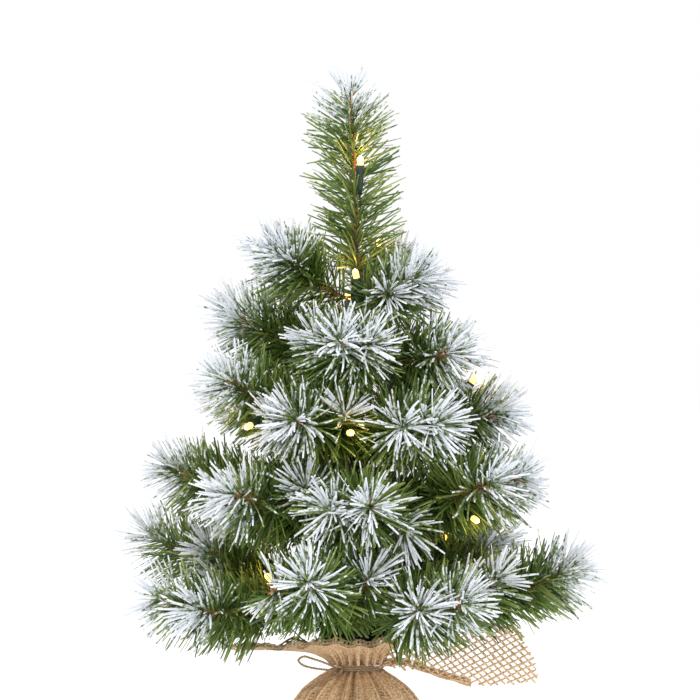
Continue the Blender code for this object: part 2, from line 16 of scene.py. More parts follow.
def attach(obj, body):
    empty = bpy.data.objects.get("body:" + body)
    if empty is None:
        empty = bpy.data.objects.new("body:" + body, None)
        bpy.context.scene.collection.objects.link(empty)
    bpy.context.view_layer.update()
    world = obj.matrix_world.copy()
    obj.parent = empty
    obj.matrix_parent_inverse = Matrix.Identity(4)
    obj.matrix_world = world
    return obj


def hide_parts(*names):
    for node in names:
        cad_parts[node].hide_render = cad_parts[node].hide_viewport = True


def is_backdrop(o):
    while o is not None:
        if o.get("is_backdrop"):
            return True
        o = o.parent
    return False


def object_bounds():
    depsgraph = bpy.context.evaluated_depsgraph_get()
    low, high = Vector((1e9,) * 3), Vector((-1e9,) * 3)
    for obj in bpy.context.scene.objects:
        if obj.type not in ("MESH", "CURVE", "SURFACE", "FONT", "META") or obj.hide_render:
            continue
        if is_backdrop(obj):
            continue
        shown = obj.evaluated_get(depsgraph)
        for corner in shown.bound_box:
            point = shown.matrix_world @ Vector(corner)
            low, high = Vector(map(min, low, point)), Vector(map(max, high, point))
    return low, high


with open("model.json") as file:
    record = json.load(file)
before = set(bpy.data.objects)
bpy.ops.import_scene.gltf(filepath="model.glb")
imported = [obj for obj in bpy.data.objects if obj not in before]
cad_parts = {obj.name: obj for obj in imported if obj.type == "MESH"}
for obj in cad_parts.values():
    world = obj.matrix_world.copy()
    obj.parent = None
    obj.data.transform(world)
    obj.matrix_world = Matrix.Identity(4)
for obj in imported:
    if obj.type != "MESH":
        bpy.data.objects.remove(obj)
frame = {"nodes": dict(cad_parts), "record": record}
cad_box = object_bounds()
record = frame["record"]
body_of_node = {}
for body, names in record["behaviour"]["bodies"].items():
    for one in names:
        body_of_node[one] = body
for one in frame["nodes"]:
    body_of_node.setdefault(one, "root")

# %% [markdown]
# ## Camera and light
# A product like this is shot level, from a couple of metres away, with a long lens. The light is a
# large soft box high on the left, a weaker one on the right, and a white room all round.

# %% Camera
cam_data = bpy.data.cameras.new("camera")
cam_data.lens = 126
camera = bpy.data.objects.new("camera", cam_data)
camera.location = (-0.0057, -2.0, 0.367)
camera.rotation_euler = (math.radians(90), 0, 0)
bpy.context.scene.collection.objects.link(camera)
bpy.context.scene.camera = camera


# %% Soft boxes, white room and floor
def soft_box(name, place, aim, size, power, tint):
    """A square lamp that looks at a point."""
    data = bpy.data.lights.new(name, "AREA")
    data.size = size
    data.energy = power
    data.color = tint
    lamp = bpy.data.objects.new(name, data)
    lamp.location = place
    lamp.rotation_euler = (Vector(aim) - Vector(place)).to_track_quat("-Z", "Y").to_euler()
    bpy.context.scene.collection.objects.link(lamp)


soft_box("key_light", (-1.1, -1.5, 1.9), (0, 0, 0.32), 0.9, 34, (1, 0.985, 0.96))
soft_box("fill_light", (1.5, -1.4, 0.9), (0, 0, 0.30), 1.2, 12, (0.96, 0.98, 1))
world = bpy.data.worlds.new("white_room")
world.use_nodes = True
world.node_tree.nodes["Background"].inputs["Color"].default_value = (1, 1, 1, 1)
world.node_tree.nodes["Background"].inputs["Strength"].default_value = 1.0
bpy.context.scene.world = world
bpy.context.scene.view_settings.view_transform = "Standard"


# %% Node helpers
def new_material(name, roughness=0.6, **constants):
    """A material with its Principled shader, whose constant sockets are set directly."""
    made = bpy.data.materials.new(name)
    made.use_nodes = True
    shader = made.node_tree.nodes["Principled BSDF"]
    shader.inputs["Roughness"].default_value = roughness
    for socket, value in constants.items():
        shader.inputs[socket.replace("_", " ")].default_value = value
    return made, made.node_tree, shader


def add_node(tree, kind, **values):
    """A node, with attributes set by name and inputs set by socket name."""
    made = tree.nodes.new(kind)
    for key, value in values.items():
        if key in made.inputs:
            made.inputs[key].default_value = value
        else:
            setattr(made, key, value)
    return made


def new_group(name, inputs, outputs):
    """An empty shader node group with named sockets."""
    group = bpy.data.node_groups.new(name, "ShaderNodeTree")
    for label, kind, value in inputs:
        made = group.interface.new_socket(label, in_out="INPUT", socket_type=kind)
        made.default_value = value
    for label, kind in outputs:
        group.interface.new_socket(label, in_out="OUTPUT", socket_type=kind)
    return group, group.nodes.new("NodeGroupInput"), group.nodes.new("NodeGroupOutput")


def mixed(tree, factor, first, second):
    """A colour mix. Each of the three is a value or the socket that it comes from."""
    mix = tree.nodes.new("ShaderNodeMix")
    mix.data_type = "RGBA"
    for index, item in ((0, factor), (6, first), (7, second)):
        if isinstance(item, bpy.types.NodeSocket):
            tree.links.new(item, mix.inputs[index])
        else:
            mix.inputs[index].default_value = item
    return mix.outputs[2]


# %% [markdown]
# ## Shared effects
# Two effects are node groups. Grain breaks up a plain colour, roughens moulded plastic and gives
# jute its uneven tone, so every finish but two uses it. Frost is sprayed flock, which sits in clumps.

# %% Grain and frost groups
grain, enter, leave = new_group("grain", [("Scale", "NodeSocketFloat", 400.0),
                                          ("Depth", "NodeSocketFloat", 0.1),
                                          ("Smooth", "NodeSocketFloat", 0.34),
                                          ("Rough", "NodeSocketFloat", 0.62),
                                          ("Dark", "NodeSocketColor", (0, 0, 0, 1)),
                                          ("Light", "NodeSocketColor", (1, 1, 1, 1))],
                                [("Color", "NodeSocketColor"), ("Roughness", "NodeSocketFloat"),
                                 ("Normal", "NodeSocketVector")])
place_of = add_node(grain, "ShaderNodeTexCoord")
noise = add_node(grain, "ShaderNodeTexNoise", Detail=4.0)
grain.links.new(place_of.outputs["Object"], noise.inputs["Vector"])
grain.links.new(enter.outputs["Scale"], noise.inputs["Scale"])
bump = add_node(grain, "ShaderNodeBump", Distance=0.0006)
grain.links.new(enter.outputs["Depth"], bump.inputs["Strength"])
grain.links.new(noise.outputs["Fac"], bump.inputs["Height"])
spread = add_node(grain, "ShaderNodeMapRange")
spread.inputs["From Min"].default_value = 0.3
spread.inputs["From Max"].default_value = 0.7
grain.links.new(noise.outputs["Fac"], spread.inputs["Value"])
rough = add_node(grain, "ShaderNodeMapRange")
grain.links.new(enter.outputs["Smooth"], rough.inputs["To Min"])
grain.links.new(enter.outputs["Rough"], rough.inputs["To Max"])
grain.links.new(noise.outputs["Fac"], rough.inputs["Value"])
grain.links.new(mixed(grain, spread.outputs[0], enter.outputs["Dark"], enter.outputs["Light"]),
                leave.inputs["Color"])
grain.links.new(rough.outputs[0], leave.inputs["Roughness"])
grain.links.new(bump.outputs["Normal"], leave.inputs["Normal"])

frost, enter, leave = new_group("frost", [("Amount", "NodeSocketFloat", 0.0),
                                          ("Scale", "NodeSocketFloat", 260.0)],
                                [("Mask", "NodeSocketFloat"), ("Normal", "NodeSocketVector")])
place_of = add_node(frost, "ShaderNodeTexCoord")
clump = add_node(frost, "ShaderNodeTexNoise", Detail=3.0)
frost.links.new(place_of.outputs["Object"], clump.inputs["Vector"])
frost.links.new(enter.outputs["Scale"], clump.inputs["Scale"])
lift = add_node(frost, "ShaderNodeMath", operation="MULTIPLY_ADD")
frost.links.new(clump.outputs["Fac"], lift.inputs[0])
lift.inputs[1].default_value = 1.5
lift.inputs[2].default_value = -0.78
total = add_node(frost, "ShaderNodeMath", operation="ADD")
frost.links.new(enter.outputs["Amount"], total.inputs[0])
frost.links.new(lift.outputs[0], total.inputs[1])
edge = add_node(frost, "ShaderNodeMapRange", interpolation_type="SMOOTHSTEP")
edge.inputs["From Min"].default_value = 0.30
edge.inputs["From Max"].default_value = 0.62
frost.links.new(total.outputs[0], edge.inputs["Value"])
crust = add_node(frost, "ShaderNodeBump", Strength=0.5, Distance=0.0008)
frost.links.new(clump.outputs["Fac"], crust.inputs["Height"])
frost.links.new(edge.outputs[0], leave.inputs["Mask"])
frost.links.new(crust.outputs["Normal"], leave.inputs["Normal"])


def grained(name, dark, light, scale=400.0, depth=0.12, smooth=0.34, rough=0.62, **constants):
    """A material whose colour, roughness and bump come from the grain group."""
    made, tree, shader = new_material(name, **constants)
    use = add_node(tree, "ShaderNodeGroup", node_tree=grain)
    use.inputs["Scale"].default_value = scale
    use.inputs["Depth"].default_value = depth
    use.inputs["Smooth"].default_value = smooth
    use.inputs["Rough"].default_value = rough
    use.inputs["Dark"].default_value = (*dark, 1)
    use.inputs["Light"].default_value = (*light, 1)
    tree.links.new(use.outputs["Color"], shader.inputs["Base Color"])
    tree.links.new(use.outputs["Roughness"], shader.inputs["Roughness"])
    tree.links.new(use.outputs["Normal"], shader.inputs["Normal"])
    return made


# %% Needle finish
needle_finish, tree, shader = new_material("frosted_needle")
shader.inputs["Specular IOR Level"].default_value = 0.45
cold = add_node(tree, "ShaderNodeAttribute", attribute_name="frost")
# tint picks each strip's green: a random tone, plus painted shade that darkens the strip towards its root
tint = add_node(tree, "ShaderNodeAttribute", attribute_name="tint")
ramp = add_node(tree, "ShaderNodeValToRGB")
ramp.color_ramp.elements[0].color = (0.018, 0.055, 0.012, 1)
ramp.color_ramp.elements[1].color = (0.310, 0.370, 0.095, 1)
middle = ramp.color_ramp.elements.new(0.5)
middle.color = (0.115, 0.195, 0.034, 1)
tree.links.new(tint.outputs["Fac"], ramp.inputs["Fac"])
rime = add_node(tree, "ShaderNodeGroup", node_tree=frost)
tree.links.new(cold.outputs["Fac"], rime.inputs["Amount"])
tree.links.new(mixed(tree, rime.outputs["Mask"], ramp.outputs["Color"], (0.72, 0.75, 0.80, 1)),
               shader.inputs["Base Color"])
matt = add_node(tree, "ShaderNodeMapRange")
matt.inputs["To Min"].default_value = 0.38
matt.inputs["To Max"].default_value = 0.85
tree.links.new(rime.outputs["Mask"], matt.inputs["Value"])
tree.links.new(matt.outputs[0], shader.inputs["Roughness"])
tree.links.new(rime.outputs["Normal"], shader.inputs["Normal"])

# %% Other finishes
bark = grained("brown_scales", (0.20, 0.080, 0.024), (0.62, 0.27, 0.080), 900, 0.3)
tape = grained("trunk_tape", (0.030, 0.062, 0.020), (0.075, 0.120, 0.038), 300, 0.4)
jute = grained("jute", (0.45, 0.275, 0.145), (0.90, 0.67, 0.42), 620, 0.8, 0.78, 0.96)
twine_jute = grained("twine_jute", (0.22, 0.145, 0.085), (0.52, 0.38, 0.235), 900, 0.8, 0.70, 0.92)
lead_plastic = grained("green_lead", (0.004, 0.018, 0.012), (0.012, 0.040, 0.024), 500, 0.1)
pot_plastic = grained("pot_plastic", (0.014, 0.012, 0.010), (0.035, 0.030, 0.026), 300, 0.2)
cement = grained("cement", (0.22, 0.21, 0.20), (0.42, 0.41, 0.39), 220, 0.6, 0.75, 0.95)
case_plastic = grained("case_plastic", (0.010, 0.011, 0.012), (0.028, 0.030, 0.032), 700, 0.15)
knob_plastic = grained("knob_plastic", (0.32, 0.32, 0.31), (0.46, 0.46, 0.45), 700, 0.12)
cell_wrap = grained("cell_wrap", (0.10, 0.11, 0.12), (0.20, 0.22, 0.24), 500, 0.05)
contact_metal = grained("contact_metal", (0.50, 0.49, 0.47), (0.72, 0.71, 0.69), 900, 0.08, Metallic=1.0)
board_green = grained("board_green", (0.006, 0.060, 0.024), (0.016, 0.110, 0.046), 900, 0.08)
tie_nylon = grained("tie_nylon", (0.012, 0.012, 0.012), (0.030, 0.030, 0.030), 600, 0.1)
floor_paper = grained("floor_paper", (0.90, 0.90, 0.90), (0.94, 0.94, 0.94), 3, 0.0,
                      Emission_Color=(1, 1, 1, 1), Emission_Strength=0.16)

lens_finish, tree, shader = new_material("lit_lens", 0.2)
shader.inputs["Base Color"].default_value = (1, 0.80, 0.42, 1)
shader.inputs["Emission Color"].default_value = (1, 0.50, 0.07, 1)
shader.inputs["Emission Strength"].default_value = 3.8
print("materials", len(bpy.data.materials))


# %% [markdown]
# ## Making meshes
# There are tens of thousands of needles and threads, so their points are worked out as arrays and
# written to each mesh in one go. A modifier per needle would be far too slow.

# %% Mesh and tube helpers
def mesh_piece(name, points, quads, finish, body, slot_name, smooth=True, **values):
    """A piece from arrays of points and four-cornered faces, with one number a point for each value."""
    mesh = bpy.data.meshes.new(name)
    mesh.vertices.add(len(points))
    mesh.vertices.foreach_set("co", np.asarray(points, np.float32).ravel())
    mesh.loops.add(quads.size)
    mesh.loops.foreach_set("vertex_index", quads.astype(np.int32).ravel())
    mesh.polygons.add(len(quads))
    mesh.polygons.foreach_set("loop_start", np.arange(0, quads.size, 4, dtype=np.int32))
    mesh.update(calc_edges=True)
    mesh.polygons.foreach_set("use_smooth", np.full(len(quads), smooth))
    for key, numbers in values.items():
        layer = mesh.attributes.new(key, "FLOAT", "POINT")
        layer.data.foreach_set("value", np.asarray(numbers, np.float32))
    mesh.materials.append(finish)
    piece = bpy.data.objects.new(name, mesh)
    bpy.context.scene.collection.objects.link(piece)
    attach(piece, body)
    return piece


def tubes(lines, across, upward, half_width, half_height, sides=4):
    """Points and quads of many tubes at once. lines and the two directions are (tubes, stations, 3)."""
    count, stations, _ = lines.shape
    half_width = np.broadcast_to(half_width, (count, stations))[..., None]
    half_height = np.broadcast_to(half_height, (count, stations))[..., None]
    turn = (np.arange(sides) + 0.5) * 2 * math.pi / sides
    rings = [lines + across * half_width * math.cos(a) + upward * half_height * math.sin(a)
             for a in turn]
    points = np.stack(rings, axis=2).reshape(-1, 3)
    tube, station, side = np.meshgrid(np.arange(count), np.arange(stations - 1), np.arange(sides),
                                      indexing="ij")
    base = (tube * stations + station) * sides
    after = (side + 1) % sides
    quads = np.stack([base + side, base + after, base + sides + after, base + sides + side], -1)
    quads = quads.reshape(-1, 4)
    first = np.arange(count)[:, None] * stations * sides
    last = first + (stations - 1) * sides
    if sides == 4:
        # square tubes are closed at both ends
        quads = np.vstack([quads, first + np.array([3, 2, 1, 0]), last + np.array([0, 1, 2, 3])])
    return points, quads


def unit(vectors):
    return vectors / np.maximum(np.linalg.norm(vectors, axis=-1, keepdims=True), 1e-9)


def sections(lines):
    """Two directions square to each line, for round tubes."""
    along = unit(np.gradient(lines, axis=1))
    helper = np.where(np.abs(along[..., 2:]) > 0.9, np.array([1.0, 0, 0]), np.array([0, 0, 1.0]))
    across = unit(np.cross(along, helper))
    return across, np.cross(across, along)


def joined(parts):
    """One mesh's points and quads from several."""
    points, quads, start = [], [], 0
    for some_points, some_quads in parts:
        points.append(some_points)
        quads.append(some_quads + start)
        start += len(some_points)
    return np.vstack(points), np.vstack(quads)


def run_along(line):
    """The distance from the start of a line to each of its points."""
    return np.concatenate([[0], np.cumsum(np.linalg.norm(np.diff(line, axis=0), axis=1))])


def smooth_path(points, steps):
    """A smooth line through the points, evenly spaced."""
    given = np.array(points, float)
    ends = np.vstack([2 * given[0] - given[1], given, 2 * given[-1] - given[-2]])
    fine = []
    for k in range(len(given) - 1):
        a, b, c, d = ends[k:k + 4]
        s = np.linspace(0, 1, 12, endpoint=False)[:, None]
        fine.append(0.5 * (2 * b + (c - a) * s + (2 * a - 5 * b + 4 * c - d) * s**2
                           + (3 * b - a - 3 * c + d) * s**3))
    fine = np.vstack(fine + [given[-1:]])
    run = run_along(fine)
    want = np.linspace(0, run[-1], steps)
    return np.stack([np.interp(want, run, fine[:, k]) for k in range(3)], 1)


def two_ply(path, ply_radius, pitch, spacing=0.85, sides=6):
    """Two strands twisted round a line."""
    run = run_along(path)
    steps = max(8, int(run[-1] / pitch * 10))
    want = np.linspace(0, run[-1], steps)
    middle_line = np.stack([np.interp(want, run, path[:, k]) for k in range(3)], 1)[None]
    across, upward = sections(middle_line)
    spin = want / pitch * 2 * math.pi
    plies = []
    for phase in (0, math.pi):
        away = across * np.cos(spin + phase)[None, :, None] + upward * np.sin(spin + phase)[None, :, None]
        plies.append(middle_line + away * ply_radius * spacing)
    strands = np.concatenate(plies)
    across, upward = sections(strands)
    return tubes(strands, across, upward, ply_radius, ply_radius, sides)


# %% [markdown]
# ## Twine
# A thin two-ply twine is wound over the neck of the burlap and knotted in front. One end runs out
# as a loop and back to the knot, and the other hangs free. Two strands that really twist round each
# other catch the light as twine does, which a smooth tube can't.

# %% Twine loop, tail and tie
TWINE_RADIUS = 0.0010
LOOP_POINTS = [(-0.0181, -0.0215, 0.1111), (-0.0225, -0.0225, 0.1130), (-0.0290, -0.0208, 0.1153),
               (-0.0370, -0.0200, 0.1178), (-0.0430, -0.0208, 0.1195), (-0.0475, -0.0220, 0.1166),
               (-0.0440, -0.0225, 0.1128), (-0.0370, -0.0220, 0.1105), (-0.0290, -0.0215, 0.1092),
               (-0.0235, -0.0208, 0.1086), (-0.0193, -0.0203, 0.1084)]
TAIL_POINTS = [(-0.0159, -0.0227, 0.1057), (-0.0195, -0.0225, 0.1030), (-0.0243, -0.0213, 0.1005),
               (-0.0300, -0.0205, 0.0980), (-0.0350, -0.0187, 0.0955), (-0.0402, -0.0157, 0.0930),
               (-0.0448, -0.0122, 0.0905)]


def path_length(path):
    return float(np.linalg.norm(np.diff(path, axis=0), axis=1).sum())


for name, route, far_end, lay in (("twine_loop", LOOP_POINTS, "object", "hanging"),
                                  ("twine_tail", TAIL_POINTS, "bare", "hanging")):
    path = smooth_path(route, 40)
    points, quads = two_ply(path, TWINE_RADIUS * 0.56, 0.0042)
    piece = mesh_piece(name + "_twine", points, quads, twine_jute, "root", "twine")
    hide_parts(name)
    print(name, round(path_length(path) * 1000, 1), "mm")

TIE_RADIUS = 0.0218
TIE_TURNS = 2.4
TIE_FOOT, TIE_RISE = 0.1083, 0.0040
turns_line = []
for k in range(180):
    t = k / 179
    angle = math.radians(232) + t * TIE_TURNS * 2 * math.pi
    turns_line.append((TIE_RADIUS * math.cos(angle), TIE_RADIUS * math.sin(angle), TIE_FOOT + TIE_RISE * t))
knot_line = [(-0.0151 + 0.0030 * math.cos(a) * (1 + 0.3 * math.sin(2 * a)),
              -0.0205 + 0.0016 * math.sin(3 * a), 0.1085 + 0.0026 * math.sin(a))
             for a in np.linspace(0, 4.2 * math.pi, 50)]
tie_mesh = joined([two_ply(np.array(turns_line), TWINE_RADIUS * 0.42, 0.0036),
                   two_ply(smooth_path(knot_line, 120), TWINE_RADIUS * 0.52, 0.0040)])
tie = mesh_piece("twine_tie_turns", *tie_mesh, twine_jute, "root", "twine")
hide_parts("twine_tie")

# %% [markdown]
# ## Branches
# A branch is a pair of twisted steel wires that grip hundreds of strips of green film. A second,
# shorter pair leaves it a third of the way out. The strips lean outwards from the wire and fan out
# at the tip. Flock is sprayed on last, so only the outer part of each tip is white. Real strips,
# each with its own length, lean and width, are what gives the tree its silhouette.

# %% Branch plan
# a row is tier, azimuth, root height, climb at the root and at the tip, length, turn of the side wire
HINGE_RADIUS = 0.0078
SPLIT_SHARE = 0.32
TWIG_LENGTH_SHARE = 0.50
TWIG_ROOT_SHARE = 0.20
TWIG_TURN = -1.25
TWIG_RISE = (0.75, -0.42)
CLEARED_TWIGS = {"branch_middle_3": 0.30, "branch_lower_5": None}
SIDE_SHARE = 0.58
TREE_HEIGHT = 0.600
LEADER_FOOT = 0.4263
BRANCHES = [
    ("top", 200, 0.408, 22, 46, 0.096, 25), ("top", 314, 0.402, 14, 34, 0.086, 25),
    ("top", 62, 0.405, 22, 44, 0.092, 25), ("upper", 164, 0.358, 14, 32, 0.122, 26),
    ("upper", 262, 0.352, 8, 22, 0.116, 26), ("upper", 338, 0.354, 3, 15, 0.110, -26),
    ("upper", 96, 0.356, 14, 30, 0.118, 26), ("middle", 212, 0.302, 12, 30, 0.140, -26),
    ("middle", 245, 0.298, 2, 16, 0.128, -24), ("middle", 302, 0.299, 0, 14, 0.132, -24),
    ("middle", 6, 0.301, 2, 18, 0.138, -24), ("middle", 56, 0.303, 6, 22, 0.140, 26),
    ("middle", 135, 0.300, 6, 22, 0.140, 26), ("lower", 186, 0.238, 4, 24, 0.165, -26),
    ("lower", 226, 0.234, 2, 18, 0.152, -24), ("lower", 274, 0.236, -2, 15, 0.150, -24),
    ("lower", 334, 0.237, 4, 24, 0.168, -26), ("lower", 30, 0.235, 2, 20, 0.165, -26),
    ("lower", 104, 0.236, 4, 20, 0.165, 26), ("bottom", 162, 0.158, 8, 28, 0.196, -24),
    ("bottom", 201, 0.154, -3, 16, 0.178, 24), ("bottom", 256, 0.162, 0, 26, 0.176, -24),
    ("bottom", 304, 0.156, -4, 22, 0.166, -24), ("bottom", 350, 0.150, 0, 32, 0.202, 24),
    ("bottom", 44, 0.164, 4, 26, 0.190, 24), ("bottom", 80, 0.188, -4, 16, 0.172, 24),
]


def main_stem(row, steps=24):
    """The main wire in an upright plane, from its hinge to its tip."""
    points = [Vector((0, 0, 0))]
    for k in range(steps):
        climb = math.radians(row[3] + (row[4] - row[3]) * (k + 0.5) / steps)
        points.append(points[-1] + Vector((math.cos(climb), 0, math.sin(climb))) * row[5] / steps)
    return points


def at_share(points, share):
    """The point at a share of an even line, and the direction there."""
    spot = share * (len(points) - 1)
    k = min(int(spot), len(points) - 2)
    step = points[k + 1] - points[k]
    return points[k] + step * (spot - k), step.normalized()


def curving_out(root, turned, bent, length):
    """A wire that starts along one direction and bends halfway towards another."""
    return [root + turned * (s * length) + (bent - turned) * (s * s * length * 0.5)
            for s in np.linspace(0, 1, 9)]


def side_stem(row):
    """The shorter wire that leaves the main one."""
    root, along = at_share(main_stem(row), SPLIT_SHARE)
    turned = Matrix.Rotation(math.radians(row[6]), 3, "Z") @ along
    climb = math.radians(0.4 * (row[4] - row[3]))
    bent = (turned + Vector((0, 0, math.tan(climb)))).normalized()
    return curving_out(root, turned, bent, SIDE_SHARE * row[5])


def inner_stem(row, rise):
    """The short twig on the other side, which climbs or droops to fill the tree between the tiers."""
    root, along = at_share(main_stem(row), TWIG_ROOT_SHARE)
    turned = Matrix.Rotation(math.radians(TWIG_TURN * row[6]), 3, "Z") @ along
    bent = (turned + Vector((0, 0, rise))).normalized()
    return curving_out(root, turned, bent, TWIG_LENGTH_SHARE * row[5])


def in_place(row, points):
    """A branch's own points, turned to its azimuth and moved to its root."""
    azimuth = math.radians(row[1])
    turn = Matrix.Rotation(azimuth, 3, "Z")
    root = Vector((HINGE_RADIUS * math.cos(azimuth), HINGE_RADIUS * math.sin(azimuth), row[2]))
    return np.array([root + turn @ p for p in points])


def twig_rise(name, number):
    """Twigs climb and droop in turn. Two would meet a branch bent up from below: one climbs more
    and one is left out."""
    if name in CLEARED_TWIGS:
        return CLEARED_TWIGS[name]
    return TWIG_RISE[number % 2] if "bottom" not in name else TWIG_RISE[0]


branch_rows = {}
for row in BRANCHES:
    number = sum(name.startswith(f"branch_{row[0]}_") for name in branch_rows) + 1
    branch_rows[f"branch_{row[0]}_{number}"] = row
print("branches", len(branch_rows))

# %% Lamp plan
FRONT_LAMPS = ("lamp_1", "lamp_2", "lamp_3", "lamp_4", "lamp_5", "lamp_6", "lamp_7")
HOLDER_LENGTH = 0.024
LENS_LENGTH = 0.0075
LENS_ROOM = 0.0055
FRONT_ROOM = 0.0075
BRANCH_LAMPS = [("branch_middle_4", 0.52, 10), ("branch_middle_2", 0.38, 265), ("branch_lower_4", 0.48, 135),
                ("branch_bottom_2", 0.28, 345), ("branch_middle_1", 0.54, 210), ("branch_top_3", 0.30, 0),
                ("branch_upper_4", 0.50, 0), ("branch_middle_5", 0.45, 180), ("branch_middle_6", 0.55, 10),
                ("branch_lower_6", 0.40, 0), ("branch_lower_5", 0.55, 0), ("branch_bottom_6", 0.40, 10),
                ("branch_bottom_1", 0.50, 0)]


def branch_lamp_line(row, share, turn):
    """The tail along a branch, and where its holder starts and points."""
    stem, length, points = main_stem(row), row[5], []
    for s in np.linspace(0.010 / length, share, 5):
        spot, along = at_share(stem, s)
        upward = (Vector((0, 0, 1)) - along * along.z).normalized()
        away = Matrix.Rotation(math.radians(turn), 3, along) @ upward
        reach = 0.0032 + 0.0052 * min(1, max(0, (s * length - 0.012) / 0.010))
        points.append(spot + away * reach)
    points[-1] = points[-1] + away * 0.0010
    heading = (along * 0.72 + away * 0.70).normalized()
    start = points[-1] + heading * 0.004
    placed = in_place(row, points + [start, start + heading])
    return placed[:-2], placed[-2], placed[-1] - placed[-2]


lamps = {"lamp_1": (np.array([(0.0035, -0.0080, 0.4720), (0.0030, -0.0090, 0.4800)]),
                    np.array((0.0022, -0.0110, 0.4930)), unit(np.array((0.02, -0.06, 1.0)))),
         "lamp_2": (np.array([(0.0020, -0.0108, 0.3800), (0.0035, -0.0145, 0.3900)]),
                    np.array((0.0045, -0.0185, 0.4020)), unit(np.array((-0.20, -0.16, 0.95))))}
for number, (name, share, turn) in enumerate(BRANCH_LAMPS, start=3):
    lamps[f"lamp_{number}"] = branch_lamp_line(branch_rows[name], share, turn)

# %% Needles
NEEDLE = 0.0405
STATIONS = np.array([0.0, 0.40, 0.78, 1.0])
STRIP_SHAPE = np.array([0.85, 1.0, 0.95, 0.72])
STRIP_HALF_WIDTH = 0.00088
STRIP_THICK_SHARE = 0.42
GOLDEN_TURN = 2.39996
TIP_STRIPS = 26
TIP_ZONE = 0.022


def needle_set(path, first, last, per_metre, draw, frost_reach, lean, length=NEEDLE):
    """The strips gripped by one wire, as tubes with their frost and tint at each point."""
    fine = np.array(smooth_path(path, 80))
    run = run_along(fine)
    count = int((last - first) * per_metre)
    spot = np.sort(draw.uniform(first, last, count))
    spot[-TIP_STRIPS:] = last - draw.uniform(0, 0.002, TIP_STRIPS)
    root = np.stack([np.interp(spot, run, fine[:, k]) for k in range(3)], 1)
    slope = unit(np.gradient(fine, axis=0))
    along = unit(np.stack([np.interp(spot, run, slope[:, k]) for k in range(3)], 1))
    helper = np.where(np.abs(along[:, 2:]) > 0.9, np.array([1.0, 0, 0]), np.array([0, 0, 1.0]))
    across = unit(np.cross(along, helper))
    upward = np.cross(across, along)
    turn = np.arange(count) * GOLDEN_TURN + draw.normal(0, 0.8, count)
    radial = across * np.cos(turn)[:, None] + upward * np.sin(turn)[:, None]
    tipness = np.clip((spot - (last - TIP_ZONE)) / TIP_ZONE, 0, 1)
    tipness[-TIP_STRIPS:] = draw.uniform(0.6, 1.0, TIP_STRIPS)
    open_angle = np.radians(np.clip(lean + draw.normal(0, 11, count), 30, 96)) * (1 - 0.62 * tipness**1.5)
    long = length * draw.uniform(0.72, 1.10, count) * (1 - 0.22 * tipness)
    line = [root]
    # order of the draws below: bend, sway, twist, cold, width, tint
    bend = draw.uniform(0.02, 0.13, count)
    side_sway = draw.normal(0, 0.10, count)[:, None] * np.cross(along, radial)
    for before, after in zip(STATIONS[:-1], STATIONS[1:]):
        angle = open_angle * (1 - bend * (before + after) / 2 * 1.6)
        heading = unit(along * np.cos(angle)[:, None] + radial * np.sin(angle)[:, None]
                       + side_sway * (before + after) / 2 * 2 + np.array([0, 0, -0.05]) * (before + after))
        line.append(line[-1] + heading * (long * (after - before))[:, None])
    line = np.stack(line, 1)
    heading = unit(np.gradient(line, axis=1))
    twist = draw.uniform(0, math.pi, count)[:, None, None]
    flat_a = unit(np.cross(heading, radial[:, None, :] + 0.01))
    flat_b = np.cross(heading, flat_a)
    wide = flat_a * np.cos(twist) + flat_b * np.sin(twist)
    thick = np.cross(heading, wide)
    from_tip = (last - spot)[:, None]
    cold = np.clip(1.12 - from_tip / frost_reach, 0, 1) * (0.30 + 0.70 * STATIONS)
    cold = cold * draw.uniform(0.75, 1.15, count)[:, None]
    half = STRIP_HALF_WIDTH * STRIP_SHAPE * draw.uniform(0.85, 1.15, count)[:, None]
    half = half * (1 + 0.36 * np.clip(cold, 0, 1))
    # tint is a random tone for each strip, and it also rises towards the tip: the darker root is painted shade
    # deep inside the brush
    tint = np.clip(draw.normal(0.40, 0.24, count)[:, None] + 0.20 * STATIONS - 0.04, 0, 1)
    return line, wide, thick, half, half * STRIP_THICK_SHARE, cold, tint


def clear_of_cloth(line):
    """False for strips that end in the collar or the corner, or hang down in front of the collar."""
    tip = line[:, -1]
    low = tip[:, 2] < 0.134
    around = np.hypot(tip[:, 0], tip[:, 1])
    over_collar = low & (around < 0.100) & ((tip[:, 1] > -0.050) | (tip[:, 0] < 0.030))
    over_corner = (tip[:, 2] < 0.146) & (tip[:, 0] > 0.030) & (np.abs(tip[:, 1] + 0.14 * tip[:, 0]) < 0.016)
    before_brim = (tip[:, 2] < 0.1385) & (tip[:, 0] > -0.085) & (tip[:, 0] < 0.030) & (tip[:, 1] < 0)
    return ~(over_collar | over_corner | before_brim)


def clear_of_lamps(line):
    """False for strips that touch a lens, or that lie straight in front of a lamp on the tree's front."""
    keep = np.ones(len(line), bool)
    steps = [line[:, :-1] + (line[:, 1:] - line[:, :-1]) * s for s in (0.0, 0.33, 0.67)]
    fine = np.concatenate(steps + [line[:, -1:]], 1)
    for name, (tail, start, heading) in lamps.items():
        gap = fine - (start + heading * (HOLDER_LENGTH + 0.6 * LENS_LENGTH))
        keep &= ~(np.linalg.norm(gap, axis=-1) < LENS_ROOM).any(1)
        if name in FRONT_LAMPS:
            aside = np.hypot(gap[..., 0], gap[..., 2])
            keep &= ~((aside < FRONT_ROOM) & (gap[..., 1] < 0.003)).any(1)
    return keep


